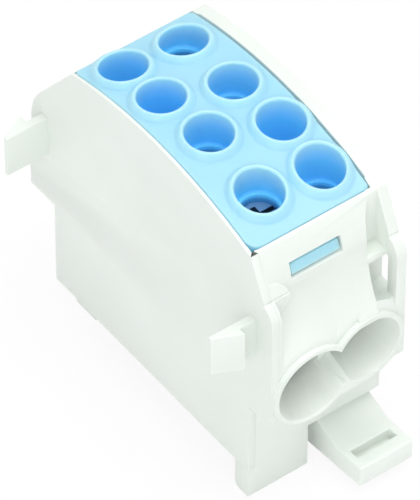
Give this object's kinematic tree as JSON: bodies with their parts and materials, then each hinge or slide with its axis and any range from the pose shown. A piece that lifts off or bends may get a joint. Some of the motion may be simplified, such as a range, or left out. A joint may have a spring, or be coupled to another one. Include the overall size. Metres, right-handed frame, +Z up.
{
  "type": "power distribution block",
  "caption": "Rail-mounted power distribution block in light plastic with a pale blue screw cover, screw clamps at both ends, side coupling tabs and a pull-out rail catch.",
  "frame": {"origin": "in the plane of the rail seat, under the top of the arched cover", "axes": "+X along the mounting rail, +Y to the rear, -Y to the front with the rail catch, +Z up, away from the rail"},
  "size_m": [0.029, 0.0583, 0.0525],
  "materials": {
    "housing_plastic": "satin",
    "cover_plastic": "satin",
    "tinned_metal": "satin",
    "steel": "satin"
  },
  "bodies": {
    "base": {"housing": "housing_plastic", "side_plate": "housing_plastic", "screw_cover": "cover_plastic", "conductor_block": "tinned_metal", "slide_spring": "steel"},
    "slide": {"rail_slide": "housing_plastic"},
    "screw_large_front_outer": {"screw_large_front_outer": "steel"},
    "screw_large_front_inner": {"screw_large_front_inner": "steel"},
    "screw_large_rear_outer": {"screw_large_rear_outer": "steel"},
    "screw_large_rear_inner": {"screw_large_rear_inner": "steel"},
    "screw_small_front_outer": {"screw_small_front_outer": "steel"},
    "screw_small_front_inner": {"screw_small_front_inner": "steel"},
    "screw_small_rear_outer": {"screw_small_rear_outer": "steel"},
    "screw_small_rear_inner": {"screw_small_rear_inner": "steel"}
  },
  "joints": [
    {"name": "turn_in_large_front_outer", "type": "slide", "parent": "base", "child": "screw_large_front_outer", "axis": [0, 0, -1], "range_m": [0, 0.0078]},
    {"name": "turn_in_large_front_inner", "type": "slide", "parent": "base", "child": "screw_large_front_inner", "axis": [0, 0, -1], "range_m": [0, 0.0078]},
    {"name": "turn_in_large_rear_outer", "type": "slide", "parent": "base", "child": "screw_large_rear_outer", "axis": [0, 0, -1], "range_m": [0, 0.0078]},
    {"name": "turn_in_large_rear_inner", "type": "slide", "parent": "base", "child": "screw_large_rear_inner", "axis": [0, 0, -1], "range_m": [0, 0.0078]},
    {"name": "turn_in_small_front_outer", "type": "slide", "parent": "base", "child": "screw_small_front_outer", "axis": [0, 0, -1], "range_m": [0, 0.0065]},
    {"name": "turn_in_small_front_inner", "type": "slide", "parent": "base", "child": "screw_small_front_inner", "axis": [0, 0, -1], "range_m": [0, 0.0065]},
    {"name": "turn_in_small_rear_outer", "type": "slide", "parent": "base", "child": "screw_small_rear_outer", "axis": [0, 0, -1], "range_m": [0, 0.0065]},
    {"name": "turn_in_small_rear_inner", "type": "slide", "parent": "base", "child": "screw_small_rear_inner", "axis": [0, 0, -1], "range_m": [0, 0.0065]},
    {"name": "slide_pull", "type": "slide", "parent": "base", "child": "slide", "axis": [0, -1, 0], "range_m": [0, 0.003], "stiffness_N_per_m": 1000, "springref_m": -0.002, "deforming": ["slide_spring"]}
  ]
}
